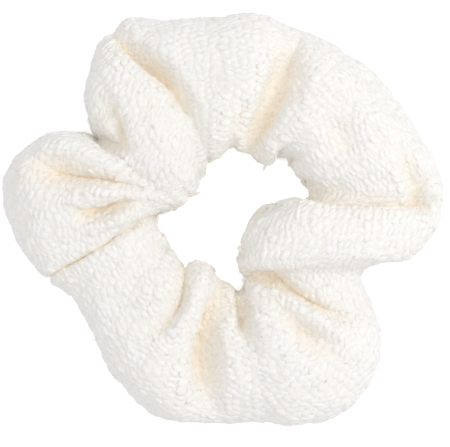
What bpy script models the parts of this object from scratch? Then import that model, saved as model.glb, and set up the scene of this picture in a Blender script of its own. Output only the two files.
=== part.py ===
"""Gathered scrunchie: a woven cloth strip sewn into a closed tube round a lapped elastic loop.

Frame: metres, +Z up, the scrunchie lying flat. The origin is the centre of its footprint, at the
height of the surface it rests on. The ring's own axis is vertical and passes through the hair
opening; the elastic's objects hang on an empty placed on that axis.
"""

import math

import bpy
from mathutils import Vector

# Cloth cover
CLOTH_THICKNESS = 0.0013
CLOTH_COLUMNS = 78
CLOTH_ROWS = 22
PLEAT_COUNT = 26
PLEAT_DEPTH = 0.0012
SEAM_HEIGHT = 0.0165
TUBE_BELOW_SEAM = 0.0190
ROUNDNESS = 0.82
LONG_SEAM_GAP = 0.0016
CLOSING_SEAM_GAP = 0.0020
CLOSING_SEAM_DEG = 200.0

# Gathered outline about the ring's axis: angle in degrees, then the inner edge's radius, the
# outer edge's radius and the crown's height in millimetres.
GATHERS = (
    (0, 12.0, 66.0, 36.0),
    (20, 20.5, 61.5, 34.0),
    (40, 20.0, 59.0, 36.0),
    (60, 15.5, 59.0, 37.0),
    (85, 15.5, 59.0, 35.5),
    (105, 14.0, 60.5, 36.0),
    (122, 11.5, 66.0, 37.0),
    (138, 10.5, 57.0, 34.0),
    (150, 10.5, 48.5, 30.5),
    (163, 12.0, 65.0, 35.0),
    (178, 17.0, 67.5, 37.0),
    (191, 18.5, 60.0, 34.0),
    (209, 18.5, 56.0, 33.0),
    (222, 17.5, 53.5, 34.0),
    (238, 16.5, 60.0, 36.0),
    (256, 16.5, 66.0, 36.5),
    (276, 17.0, 65.0, 35.0),
    (300, 11.0, 71.0, 37.5),
    (318, 10.0, 62.0, 35.0),
    (334, 9.5, 48.5, 30.0),
    (348, 10.5, 59.0, 34.0),
)

# Elastic loop
ELASTIC_RADIUS = 0.0283
ELASTIC_WIDTH = 0.0065
ELASTIC_THICKNESS = 0.0012
ELASTIC_LAP = 0.0120
ELASTIC_RISE_DEG = 14.0
ELASTIC_STEPS = 96
ELASTIC_JOIN_DEG = 15.0

# Sewing thread
THREAD_RADIUS = 0.00015
STITCH_DEPTH = 0.00015
STITCH_SPACING = 0.0003
CLEARANCE = 0.0003
JOIN_STITCHES = 10
JOIN_STITCH_REACH = 0.0022

MM = 0.001


def clear_scene():
    """Remove whatever the scene opened with."""
    for obj in list(bpy.data.objects):
        bpy.data.objects.remove(obj, do_unlink=True)


def make_material(name, colour, roughness):
    """A non-metallic Principled material of one colour."""
    material = bpy.data.materials.new(name)
    material.use_nodes = True
    shader = material.node_tree.nodes["Principled BSDF"]
    shader.inputs["Base Color"].default_value = (*colour, 1.0)
    shader.inputs["Roughness"].default_value = roughness
    shader.inputs["Metallic"].default_value = 0.0
    return material


def gathered_outline(angle):
    """Inner radius, outer radius and crown height at an angle, eased between the gathers."""
    degrees = math.degrees(angle) % 360.0
    count = len(GATHERS)
    after = next((i for i, gather in enumerate(GATHERS) if gather[0] > degrees), 0)
    before = (after - 1) % count
    first, second = GATHERS[before], GATHERS[after]
    span = (second[0] - first[0]) % 360.0
    share = ((degrees - first[0]) % 360.0) / span
    eased = share * share * (3.0 - 2.0 * share)
    return [MM * (a + (b - a) * eased) for a, b in zip(first[1:], second[1:])]


def signed_power(value, exponent):
    """A power that keeps the sign, for the rounded cross-section."""
    return math.copysign(abs(value) ** exponent, value)


def cover_point(angle, turn):
    """A point on the cover's outer face: angle round the ring, turn round the tube from its outside."""
    inner, outer, crown = gathered_outline(angle)
    across, up = math.cos(turn), math.sin(turn)
    half_width = (outer - inner) / 2.0
    half_height = crown - SEAM_HEIGHT if up > 0 else TUBE_BELOW_SEAM
    away_from_seam = 1.0 - max(0.0, -across) ** 2
    fold = PLEAT_DEPTH * away_from_seam * (0.5 - 0.5 * math.cos(PLEAT_COUNT * angle))
    radius = (inner + outer) / 2.0 + (half_width - fold) * signed_power(across, ROUNDNESS)
    height = SEAM_HEIGHT + (half_height - fold) * signed_power(up, ROUNDNESS)
    return Vector((radius * math.cos(angle), radius * math.sin(angle), max(height, 0.0)))


def ring_angle(column):
    """Angle of a column of the cloth, counted from the closing seam."""
    return math.radians(CLOSING_SEAM_DEG) + math.tau * column / CLOTH_COLUMNS


def tube_turn(row):
    """Turn of a row of the cloth round the tube, from one edge of the long seam to the other."""
    half_gap = LONG_SEAM_GAP / 2.0
    edge = math.asin((half_gap / TUBE_BELOW_SEAM) ** (1.0 / ROUNDNESS))
    return math.pi + edge + (math.tau - 2.0 * edge) * row / CLOTH_ROWS


def along_ring(angle):
    """Unit vector round the ring at an angle."""
    return Vector((-math.sin(angle), math.cos(angle), 0.0))


def place(obj, collection, parent, material):
    """Put an object in the part's collection, under its parent, with its material."""
    for owner in list(obj.users_collection):
        owner.objects.unlink(obj)
    collection.objects.link(obj)
    obj.parent = parent
    obj.data.materials.append(material)
    return obj


def grid_strip(name, columns, rows):
    """A flat unit strip of cloth or elastic, ready to be wrapped into shape."""
    bpy.ops.mesh.primitive_grid_add(x_subdivisions=columns, y_subdivisions=rows, size=1.0)
    strip = bpy.context.object
    strip.name = name
    strip.data.name = name
    return strip


def thicken(obj, thickness, offset):
    """Give an open surface its thickness."""
    solidify = obj.modifiers.new("thickness", "SOLIDIFY")
    solidify.thickness = thickness
    solidify.offset = offset


def make_cover():
    """The cloth strip: wrapped round the elastic, its long edges meeting on the inner side."""
    strip = grid_strip("fabric_cover", CLOTH_COLUMNS, CLOTH_ROWS)
    for vertex in strip.data.vertices:
        column = round((vertex.co.x + 0.5) * CLOTH_COLUMNS)
        row = round((vertex.co.y + 0.5) * CLOTH_ROWS)
        angle = ring_angle(column)
        point = cover_point(angle, tube_turn(row))
        if column == 0:
            point += along_ring(angle) * CLOSING_SEAM_GAP / 2.0
        if column == CLOTH_COLUMNS:
            point -= along_ring(angle) * CLOSING_SEAM_GAP / 2.0
        vertex.co = point
    strip.data.shade_smooth()
    thicken(strip, CLOTH_THICKNESS, -1.0)
    return strip


def make_elastic():
    """The elastic: one flat braid bent into a ring whose ends lap."""
    strip = grid_strip("elastic_band", ELASTIC_STEPS, 1)
    lap_turn = ELASTIC_LAP / ELASTIC_RADIUS
    rise = math.radians(ELASTIC_RISE_DEG)
    step_out = ELASTIC_THICKNESS + CLEARANCE
    for vertex in strip.data.vertices:
        travelled = (vertex.co.x + 0.5) * (math.tau + lap_turn)
        share = min(1.0, max(0.0, (travelled - math.tau + rise) / rise))
        radius = ELASTIC_RADIUS + step_out * share * share * (3.0 - 2.0 * share)
        angle = math.radians(ELASTIC_JOIN_DEG) + travelled
        height = vertex.co.y * ELASTIC_WIDTH
        vertex.co = Vector((radius * math.cos(angle), radius * math.sin(angle), height))
    strip.data.shade_smooth()
    thicken(strip, ELASTIC_THICKNESS, 1.0)
    return strip


def make_thread(name, points):
    """A sewing thread along a path of points."""
    curve = bpy.data.curves.new(name, "CURVE")
    curve.dimensions = "3D"
    curve.bevel_depth = THREAD_RADIUS
    curve.bevel_resolution = 2
    curve.use_fill_caps = True
    spline = curve.splines.new("POLY")
    spline.points.add(len(points) - 1)
    for knot, point in zip(spline.points, points):
        knot.co = (*point, 1.0)
    thread = bpy.data.objects.new(name, curve)
    bpy.context.scene.collection.objects.link(thread)
    return thread


def long_seam_path(side):
    """Path of one thread of the long seam, between the cloth's two edges."""
    points = []
    for column in range(1, CLOTH_COLUMNS):
        angle = ring_angle(column)
        dip = STITCH_DEPTH * (-1) ** column
        radius = gathered_outline(angle)[0] + CLOTH_THICKNESS / 2.0 + dip
        height = SEAM_HEIGHT + side * STITCH_SPACING
        points.append(Vector((radius * math.cos(angle), radius * math.sin(angle), height)))
    return points


def closing_seam_path(side):
    """Path of one thread of the closing seam, between the tube's two ends."""
    angle = ring_angle(0)
    axis = along_ring(angle)
    points = []
    for row in range(CLOTH_ROWS + 1):
        before = cover_point(angle, tube_turn(max(row - 1, 0)))
        after = cover_point(angle, tube_turn(min(row + 1, CLOTH_ROWS)))
        inward = axis.cross(before - after).normalized()
        depth = CLOTH_THICKNESS / 2.0 + STITCH_DEPTH * (-1) ** row
        points.append(cover_point(angle, tube_turn(row)) + inward * depth + axis * side * STITCH_SPACING)
    return points


def elastic_join_path(radius):
    """Zigzag of one thread over the elastic's lap, at a radius just clear of the braid."""
    points = []
    for stitch in range(JOIN_STITCHES + 1):
        travelled = (0.15 + 0.7 * stitch / JOIN_STITCHES) * ELASTIC_LAP / ELASTIC_RADIUS
        angle = math.radians(ELASTIC_JOIN_DEG) + travelled
        height = JOIN_STITCH_REACH * (-1) ** stitch
        points.append(Vector((radius * math.cos(angle), radius * math.sin(angle), height)))
    return points


def footprint_centre(obj):
    """Centre of an object's outline, seen from above."""
    xs = [vertex.co.x for vertex in obj.data.vertices]
    ys = [vertex.co.y for vertex in obj.data.vertices]
    return Vector(((min(xs) + max(xs)) / 2.0, (min(ys) + max(ys)) / 2.0, 0.0))


def main():
    """Build the scrunchie."""
    clear_scene()
    parts = bpy.data.collections.new("scrunchie")
    bpy.context.scene.collection.children.link(parts)
    cloth = make_material("cream_woven_cloth", (0.90, 0.87, 0.82), 0.95)
    braid = make_material("white_elastic_braid", (0.84, 0.83, 0.80), 0.80)
    thread = make_material("cream_sewing_thread", (0.88, 0.84, 0.77), 0.60)

    cover = make_cover()
    ring = bpy.data.objects.new("ring_centre", None)
    parts.objects.link(ring)
    ring.location = -footprint_centre(cover)
    axis = bpy.data.objects.new("elastic_axis", None)
    parts.objects.link(axis)
    axis.parent = ring
    axis.location = (0.0, 0.0, SEAM_HEIGHT)

    place(cover, parts, ring, cloth)
    place(make_elastic(), parts, axis, braid)
    for use, side in (("needle", 1), ("bobbin", -1)):
        place(make_thread(f"long_seam_{use}_thread", long_seam_path(side)), parts, ring, thread)
        place(make_thread(f"closing_seam_{use}_thread", closing_seam_path(side)), parts, ring, thread)
    outer_face = ELASTIC_RADIUS + 2.0 * ELASTIC_THICKNESS + CLEARANCE
    for use, radius in (
        ("needle", outer_face + CLEARANCE + THREAD_RADIUS),
        ("bobbin", ELASTIC_RADIUS - CLEARANCE - THREAD_RADIUS),
    ):
        place(make_thread(f"elastic_join_{use}_thread", elastic_join_path(radius)), parts, axis, thread)


main()
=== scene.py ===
"""A gathered cream scrunchie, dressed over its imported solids.

The cloth cover is one woven strip: its columns run along the strip's length, from one side of the
closing seam round the ring to the other side, and its rows run across the strip, from one edge of
the long seam, under the tube, round its outside, over the top and back to the other edge.
Lengths in the tables are millimetres in the frame's own X and Y; everything else is in metres.
"""

from __future__ import annotations

import logging
import math
from dataclasses import dataclass, field
from enum import Enum

import bpy
import numpy as np
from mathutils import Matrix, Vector


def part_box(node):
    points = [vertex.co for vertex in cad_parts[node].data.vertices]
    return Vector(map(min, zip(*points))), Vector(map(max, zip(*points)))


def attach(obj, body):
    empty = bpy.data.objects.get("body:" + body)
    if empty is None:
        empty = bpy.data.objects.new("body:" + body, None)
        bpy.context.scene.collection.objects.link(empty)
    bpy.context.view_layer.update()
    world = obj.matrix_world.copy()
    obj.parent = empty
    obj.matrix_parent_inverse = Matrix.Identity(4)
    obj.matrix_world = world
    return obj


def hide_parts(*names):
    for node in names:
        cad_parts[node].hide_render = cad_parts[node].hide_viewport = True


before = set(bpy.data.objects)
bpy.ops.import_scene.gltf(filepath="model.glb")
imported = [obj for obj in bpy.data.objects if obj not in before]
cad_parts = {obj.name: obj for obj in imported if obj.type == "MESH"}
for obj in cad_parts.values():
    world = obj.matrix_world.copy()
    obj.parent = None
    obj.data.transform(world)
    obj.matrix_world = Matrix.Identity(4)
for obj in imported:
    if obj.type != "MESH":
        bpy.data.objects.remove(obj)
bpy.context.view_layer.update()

MM = 0.001
# Painted glow: pale emission that lightens the deep folds and the gaps between yarns, which the lamps
# reach least.
PAINTED_GLOW_STRENGTH = 0.17
# Nothing reaches lower than this above the floor.
FLOOR_GAP = 0.02 * MM
TINY = 1e-9
# How round a yarn's section is: 1 is a half circle, and less leaves its edges above the gap.
YARN_ROUNDNESS = 0.96
LOG = logging.getLogger("scrunchie")
Colour = tuple[float, float, float]


class Body(Enum):
    """The rigid bodies that pieces ride on."""

    COVER = "cover"
    ELASTIC = "elastic"


class Slot(Enum):
    """The record's material slots."""

    CLOTH = "cloth"
    ELASTIC = "elastic"
    THREAD = "thread"


# --------------------------------------------------------------------------- shader expressions


class Shade:
    """A shader socket that takes part in Python arithmetic by adding Math nodes."""

    def __init__(self, tree: bpy.types.NodeTree, socket: bpy.types.NodeSocket | float) -> None:
        """Wrap a socket or a plain number.

        Args:
            tree: The node tree that new nodes are added to.
            socket: An output socket, or a number.
        """
        self.tree = tree
        self.socket = socket

    def _math(self, operation: str, *others: "Shade | float", clamp: bool = False) -> "Shade":
        """Add one Math node.

        Args:
            operation: The node's operation.
            others: The second and third operands.
            clamp: Whether the result is held between 0 and 1.

        Returns:
            The node's result.
        """
        node = self.tree.nodes.new("ShaderNodeMath")
        node.operation = operation
        node.use_clamp = clamp
        for index, operand in enumerate((self, *others)):
            value = operand.socket if isinstance(operand, Shade) else operand
            if isinstance(value, (int, float)):
                node.inputs[index].default_value = float(value)
            else:
                self.tree.links.new(value, node.inputs[index])
        return Shade(self.tree, node.outputs[0])

    def __add__(self, other: "Shade | float") -> "Shade":
        """Sum."""
        return self._math("ADD", other)

    def __sub__(self, other: "Shade | float") -> "Shade":
        """Difference."""
        return self._math("SUBTRACT", other)

    def __mul__(self, other: "Shade | float") -> "Shade":
        """Product."""
        return self._math("MULTIPLY", other)

    def __truediv__(self, other: "Shade | float") -> "Shade":
        """Quotient."""
        return self._math("DIVIDE", other)

    def __pow__(self, other: "Shade | float") -> "Shade":
        """Power."""
        return self._math("POWER", other)

    __radd__ = __add__
    __rmul__ = __mul__

    def __rsub__(self, other: float) -> "Shade":
        """Difference from a number."""
        return Shade(self.tree, other)._math("SUBTRACT", self)

    def floor(self) -> "Shade":
        """Whole part below the value."""
        return self._math("FLOOR")

    def angle_from(self, x: "Shade") -> "Shade":
        """Angle of the point whose Y is this value."""
        return self._math("ARCTAN2", x)

    def cosine(self) -> "Shade":
        """Cosine."""
        return self._math("COSINE")

    def root(self) -> "Shade":
        """Square root, with anything negative taken as nothing."""
        return self.above(0.0)._math("SQRT")

    def above(self, other: "Shade | float") -> "Shade":
        """The larger of two values."""
        return self._math("MAXIMUM", other)

    def exceeds(self, other: "Shade | float") -> "Shade":
        """One where this value is the larger, and nothing elsewhere."""
        return self._math("GREATER_THAN", other)

    def modulo(self, other: float) -> "Shade":
        """Remainder that is never negative."""
        return self._math("FLOORED_MODULO", other)

    def clamped(self) -> "Shade":
        """The value held between 0 and 1."""
        return self._math("ADD", 0.0, clamp=True)


class Recipe:
    """One material's node tree, built by naming nodes, their settings and their sockets."""

    def __init__(self, name: str) -> None:
        """Start a material with an empty tree.

        Args:
            name: The material's name.
        """
        self.material = bpy.data.materials.new(name)
        self.material.use_nodes = True
        self.tree = self.material.node_tree
        self.tree.nodes.clear()

    def node(self, kind: str, settings: dict | None = None, **sockets: object) -> bpy.types.Node:
        """Add a node.

        Args:
            kind: The node's type without its ShaderNode prefix.
            settings: Attributes set before the sockets.
            sockets: Values or links by socket name, with spaces written as underscores.

        Returns:
            The new node.
        """
        made = self.tree.nodes.new("ShaderNode" + kind)
        for key, value in (settings or {}).items():
            setattr(made, key, value)
        for key, value in sockets.items():
            wanted = key.replace("_", " ")
            target = next(s for s in made.inputs if s.name == wanted and s.enabled)
            source = value.socket if isinstance(value, Shade) else value
            if isinstance(source, bpy.types.NodeSocket):
                self.tree.links.new(source, target)
            else:
                target.default_value = source
        return made

    def value(self, node: bpy.types.Node, output: str | int = 0) -> Shade:
        """A node's output as a value to calculate with."""
        return Shade(self.tree, node.outputs[output])

    def attribute(self, name: str) -> Shade:
        """A number that the mesh carries at each point."""
        return self.value(self.node("Attribute", {"attribute_name": name}), "Fac")

    def place(self) -> bpy.types.NodeSocket:
        """The shaded point in the object's own coordinates."""
        return self.node("TexCoord").outputs["Object"]

    def parts(self, vector: bpy.types.NodeSocket) -> list[Shade]:
        """The X, Y and Z of a vector."""
        split = self.node("SeparateXYZ", None, Vector=vector)
        return [self.value(split, index) for index in range(3)]

    def surface(self, **sockets: object) -> bpy.types.Material:
        """Finish the material with a Principled surface that has these sockets set."""
        output = self.node("OutputMaterial")
        self.tree.links.new(self.node("BsdfPrincipled", None, **sockets).outputs[0], output.inputs[0])
        return self.material

    def noise(self, vector: bpy.types.NodeSocket, scale: float, detail: float = 2.0) -> Shade:
        """Smooth noise between 0 and 1.

        Args:
            vector: Where it is read.
            scale: Its features per unit.
            detail: How many finer layers it has.

        Returns:
            The noise's value.
        """
        made = self.node("TexNoise", None, Vector=vector, Scale=scale, Detail=detail)
        return self.value(made, "Fac")

    def blend(self, share: Shade, first: object, second: object) -> bpy.types.NodeSocket:
        """Mix two colours.

        Args:
            share: How much of the second colour.
            first: The first colour, as a value or a socket.
            second: The second colour, as a value or a socket.

        Returns:
            The mixed colour.
        """
        mix = self.node("Mix", {"data_type": "RGBA"})
        colours = [socket for socket in mix.inputs if socket.type == "RGBA"]
        self.tree.links.new(share.socket, mix.inputs[0])
        for target, source in zip(colours, (first, second)):
            if isinstance(source, bpy.types.NodeSocket):
                self.tree.links.new(source, target)
            else:
                target.default_value = (*source, 1.0)
        return next(socket for socket in mix.outputs if socket.type == "RGBA")

    def point(self, x: Shade | float, y: Shade | float, z: Shade | float = 0.0) -> bpy.types.NodeSocket:
        """Join three values into a vector."""
        return self.node("CombineXYZ", None, X=x, Y=y, Z=z).outputs[0]


# --------------------------------------------------------------------------- finishes


@dataclass(frozen=True)
class DeepFolds:
    """What every cream finish of the cloth shares: a painted warm shade and a painted glow where a fold
    is deep.
    """

    # shade is the painted shade of deep folds; glow is the colour of their painted glow.
    shade: Colour = (0.893, 0.815, 0.692)
    glow: Colour = (1.0, 0.885, 0.735)
    tint: Colour = (1.0, 0.98, 0.94)
    sheen_roughness: float = 0.6

    def painted_glow_and_sheen(self, make: Recipe, deep: Shade, low: Shade, sheen: float) -> dict[str, object]:
        """The painted glow and the sheen of the cloth's surface.

        Args:
            make: The material being built.
            deep: How deep in a fold a point lies, from 0 to 1.
            low: How far a point lies below the yarns' crowns, which gets more painted glow.
            sheen: How much of the surface's light is the nap's.

        Returns:
            Sockets of the Principled surface.
        """
        # Painted glow: emission that lightens deep folds and low parts, where the lamps reach least.
        painted_glow_share = (deep**1.2 * 0.62 + low).clamped()
        return {
            "Emission_Color": make.blend(painted_glow_share, (0.0, 0.0, 0.0), self.glow),
            "Emission_Strength": PAINTED_GLOW_STRENGTH,
            "Sheen_Weight": sheen,
            "Sheen_Roughness": self.sheen_roughness,
            "Sheen_Tint": (*self.tint, 1.0),
        }


@dataclass(frozen=True)
class WovenCloth(DeepFolds):
    """Slubby plain-weave cloth: thick, soft cream yarns that cross over and under."""

    crown: Colour = (0.915, 0.900, 0.872)
    # Painted shade between the yarns.
    gap: Colour = (0.900, 0.862, 0.800)
    slubbed: Colour = (0.89, 0.862, 0.815)
    lift: float = 0.34
    yarn: float = 0.60
    relief: float = 0.00052
    roughness: float = 0.94
    sheen: float = 0.22

    def material(self) -> bpy.types.Material:
        """Build the cloth's material.

        Returns:
            The material, whose weave follows the cloth's own yarn count map.
        """
        make = Recipe("woven_cream_cloth")
        across, along, _ = make.parts(make.node("UVMap", {"uv_map": "yarn_count"}).outputs[0])
        column, row = across.floor(), along.floor()
        fx, fy = across - column - 0.5, along - row - 0.5
        sign = 1.0 - (column + row).modulo(2.0) * 2.0
        cell = make.point(column, row, 7.0)
        luck = make.value(make.node("TexWhiteNoise", {"noise_dimensions": "3D"}, Vector=cell), "Value")
        lift = sign * self.lift * (0.7 + luck * 0.6)
        round_x, round_y = ((1.0 - (f * 2.0) ** 2.0 * YARN_ROUNDNESS).root() for f in (fx, fy))
        weft = lift * (fy * math.pi).cosine() + self.yarn * round_x
        warp = self.yarn * round_y - lift * (fx * math.pi).cosine()
        over = weft.exceeds(warp)
        body = weft.above(warp)
        strands_weft = make.noise(make.point(across * 9.0, along * 1.7), 1.0, 3.0)
        strands_warp = make.noise(make.point(across * 1.7, along * 9.0, 3.0), 1.0, 3.0)
        strands = over * strands_weft + (1.0 - over) * strands_warp
        nap = make.noise(make.point(across, along, 5.0), 5.5, 4.0)
        height = body + strands * 0.20 + nap * 0.34
        slub = make.noise(make.point(across * 0.23, along * 0.31, 11.0), 1.0, 2.0)
        deep = make.attribute("fold_depth")
        # Painted shade: the gap colour darkens the low parts between yarns, and the shade colour darkens
        # deep folds; the low parts also get more painted glow.
        raised = ((body - 0.18) * 1.9 + (nap - 0.5) * 0.8).clamped()
        yarn_with_gap_shade = make.blend(raised, self.gap, self.crown)
        with_painted_fold_shade = make.blend((deep * 0.75).clamped(), yarn_with_gap_shade, self.shade)
        bump = make.node("Bump", None, Strength=0.85, Distance=self.relief, Height=height)
        return make.surface(
            Base_Color=make.blend(((slub - 0.5) * 0.9 + luck * 0.12).clamped(), with_painted_fold_shade, self.slubbed),
            Roughness=self.roughness - (strands - 0.5) * 0.08,
            Normal=bump.outputs[0],
            Specular_IOR_Level=0.15,
            **self.painted_glow_and_sheen(make, deep, (1.0 - raised) * 0.75, self.sheen),
        )


@dataclass(frozen=True)
class CrownYarn(DeepFolds):
    """The soft, barely twisted cream yarn whose crowns stand up out of the cloth."""

    bright: Colour = (0.936, 0.929, 0.915)
    warm: Colour = (0.926, 0.913, 0.892)
    # Painted shade on the crowns' low flanks.
    side: Colour = (0.926, 0.893, 0.842)
    relief: float = 0.00014
    roughness: float = 0.93
    sheen: float = 0.18

    def material(self) -> bpy.types.Material:
        """Build the yarn's material.

        Returns:
            The material, whose strands follow each crown's own lie of the yarn.
        """
        make = Recipe("slubby_cream_yarn")
        along, across, _ = make.parts(make.node("UVMap", {"uv_map": "yarn_lie"}).outputs[0])
        luck, deep, rise = (make.attribute(name) for name in ("luck", "fold_depth", "rise"))
        twisted = across + along * 0.35
        strands = make.noise(make.point(along * 0.9, twisted * 5.5, luck * 9.0), 1.0, 3.0)
        nap = make.noise(make.point(along, across, luck * 9.0), 3.6, 4.0)
        height = strands * 0.6 + nap * 0.7
        body = make.blend((luck * 1.3 - 0.25 + (nap - 0.5) * 0.7).clamped(), self.bright, self.warm)
        # Painted shade: the side colour darkens the low flanks of each crown, and the shade colour its
        # deep folds.
        lit = make.blend((0.62 - rise * 0.9 + (nap - 0.5) * 0.3).clamped(), body, self.side)
        with_painted_fold_shade = make.blend((deep * 0.85).clamped(), lit, self.shade)
        bump = make.node("Bump", None, Strength=0.9, Distance=self.relief, Height=height)
        return make.surface(
            Base_Color=with_painted_fold_shade,
            Roughness=self.roughness - (strands - 0.5) * 0.1,
            Normal=bump.outputs[0],
            Specular_IOR_Level=0.12,
            **self.painted_glow_and_sheen(make, deep, (0.55 - rise) * 0.85, self.sheen),
        )


@dataclass(frozen=True)
class LooseFibre:
    """Stray fibres that stand off the yarns: pale and matt, or clear and shiny where a thread ends."""

    colour: Colour = (0.935, 0.922, 0.900)
    warm: Colour = (0.900, 0.872, 0.828)
    roughness: float = 0.85
    gloss: float = 0.1

    def material(self, name: str) -> bpy.types.Material:
        """Build the fibre's material.

        Args:
            name: The material's name.

        Returns:
            The material, which changes tone slowly from place to place.
        """
        make = Recipe(name)
        tone = make.noise(make.place(), 420.0, 1.0)
        return make.surface(
            Base_Color=make.blend(tone, self.colour, self.warm),
            Roughness=self.roughness - tone * 0.1,
            Specular_IOR_Level=self.gloss,
        )


@dataclass(frozen=True)
class BraidedElastic:
    """Flat braided elastic: fine ribs along its length, crossed by a herringbone of threads."""

    light: Colour = (0.86, 0.85, 0.82)
    groove_shade: Colour = (0.62, 0.60, 0.56)
    ribs: float = 1500.0
    slants: float = 9000.0
    middle: tuple[float, float] = (0.00056, 0.0029)
    circle: float = 0.0289

    def material(self) -> bpy.types.Material:
        """Build the elastic's material.

        Returns:
            The material, with its braid counted round the band's own middle.
        """
        make = Recipe("white_braided_elastic")
        x, y, z = make.parts(make.place())
        turn = (y - self.middle[1]).angle_from(x - self.middle[0]) * self.circle
        rib = (z * (self.ribs * math.tau)).cosine()
        right_slant = ((turn + z * 0.7) * self.slants).cosine()
        slant = right_slant * 0.5 + ((turn - z * 0.7) * self.slants).cosine() * 0.5
        height = rib * 0.5 + slant * 0.35
        # Painted shade: the braid darkens towards the groove colour where its bump is low.
        colour = make.blend((height * 0.4 + 0.6).clamped(), self.groove_shade, self.light)
        bump = make.node("Bump", None, Strength=0.6, Distance=0.0002, Height=height)
        return make.surface(
            Base_Color=colour,
            Roughness=0.72 - height * 0.08,
            Normal=bump.outputs[0],
            Sheen_Weight=0.1,
        )


@dataclass(frozen=True)
class SewingThread:
    """Twisted polyester sewing thread with a slight sheen."""

    light: Colour = (0.90, 0.87, 0.80)
    groove_shade: Colour = (0.70, 0.65, 0.56)
    twist: float = 5200.0

    def material(self) -> bpy.types.Material:
        """Build the thread's material."""
        make = Recipe("cream_sewing_thread")
        x, y, z = make.parts(make.place())
        ply = ((x + y * 0.8 + z * 1.3) * self.twist).cosine() * 0.5 + 0.5
        # Painted shade: the thread darkens towards the groove colour in the low parts of its twist.
        colour = make.blend(ply, self.groove_shade, self.light)
        bump = make.node("Bump", None, Strength=0.5, Distance=0.00006, Height=ply)
        return make.surface(
            Base_Color=colour,
            Roughness=0.5 - ply * 0.1,
            Normal=bump.outputs[0],
            Coat_Weight=0.15,
        )


@dataclass(frozen=True)
class PaleFloor:
    """The plain white surface that the scrunchie lies on, lit through like a light table."""

    colour: Colour = (0.90, 0.90, 0.90)
    glow: float = 0.66
    outside: float = 0.60
    reach: float = 0.045

    def material(self) -> bpy.types.Material:
        """Build the floor's material.

        Returns:
            The material, which glows a little more where the ring keeps the room's light out.
        """
        make = Recipe("plain_white_floor")
        length = make.node("VectorMath", {"operation": "LENGTH"}, Vector=make.place())
        radius = make.value(length, "Value")
        share = ((radius - 0.5 * self.reach) / (0.5 * self.reach)).clamped()
        glow = make.blend(share, (1.0, 1.0, 1.0), (self.outside, self.outside, self.outside))
        return make.surface(
            Base_Color=(*self.colour, 1.0),
            Roughness=1.0,
            Specular_IOR_Level=0.0,
            Emission_Color=glow,
            Emission_Strength=self.glow,
        )


# --------------------------------------------------------------------------- the cloth's gathers


@dataclass(frozen=True)
class GatherLine:
    """A line over the ring, from the hair opening's edge to the outer edge, and the tube's height."""

    inner: tuple[float, float]
    outer: tuple[float, float]
    crown: float


GATHER_LINES: tuple[GatherLine, ...] = tuple(
    GatherLine(*line)
    for line in (
        ((-19.4, 2.6), (-53.6, -18.0), 33.0),
        ((-17.9, -3.5), (-46.4, -23.9), 34.0),
        ((-14.9, -7.7), (-38.3, -37.4), 35.0),
        ((-12.5, -10.7), (-30.8, -49.7), 36.0),
        ((-8.6, -11.9), (-22.4, -58.2), 35.0),
        ((-3.8, -12.8), (-14.0, -61.4), 34.0),
        ((-0.2, -16.1), (-5.3, -61.1), 31.0),
        ((2.6, -17.6), (3.2, -61.1), 32.0),
        ((5.0, -19.4), (11.3, -61.1), 33.0),
        ((5.4, -19.4), (22.7, -62.2), 35.5),
        ((5.4, -18.7), (37.7, -57.4), 36.0),
        ((5.2, -17.9), (47.2, -42.5), 35.0),
        ((4.3, -16.9), (46.1, -28.4), 32.0),
        ((3.4, -15.4), (42.2, -16.2), 30.0),
        ((2.8, -12.6), (48.2, -12.5), 35.0),
        ((3.6, -7.6), (57.2, -10.4), 37.0),
        ((7.4, 0.3), (64.7, -2.3), 37.0),
        ((14.3, 5.6), (66.6, 3.8), 35.0),
        ((23.3, 8.3), (66.6, 9.2), 33.0),
        ((21.5, 11.6), (62.9, 18.8), 35.5),
        ((18.5, 17.3), (54.8, 31.4), 36.5),
        ((15.5, 18.8), (42.2, 46.4), 36.5),
        ((11.9, 16.1), (30.2, 54.8), 35.5),
        ((7.7, 17.0), (22.1, 58.7), 33.0),
        ((4.7, 18.2), (12.2, 62.0), 36.0),
        ((1.4, 19.1), (-0.8, 61.7), 36.0),
        ((-3.8, 16.7), (-16.4, 60.5), 35.0),
        ((-5.6, 14.6), (-29.6, 60.8), 33.5),
        ((-6.5, 11.6), (-38.9, 52.7), 37.0),
        ((-8.9, 7.7), (-42.4, 39.2), 36.0),
        ((-11.6, 5.3), (-40.7, 28.4), 33.0),
        ((-13.4, 4.4), (-38.6, 24.2), 31.5),
        ((-14.6, 3.8), (-41.0, 26.2), 33.0),
        ((-15.8, 3.5), (-52.4, 27.2), 36.0),
        ((-16.7, 3.2), (-63.8, 18.8), 37.0),
        ((-17.6, 3.2), (-66.8, 6.2), 37.0),
        ((-18.5, 2.9), (-62.5, -7.7), 35.0),
    )
)


@dataclass(frozen=True)
class Fold:
    """A crease, or a ridge where its depth is negative, along a path seen from above.

    Each side has the width over which the cloth rolls into it and how round that roll is, from 0
    for a soft hollow to 1 for a full edge. A lip leans one side over the other, the left if positive.
    """

    name: str
    path: tuple[tuple[float, float, float], ...]
    left: tuple[float, float]
    right: tuple[float, float]
    lip: float = 0.0


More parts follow.
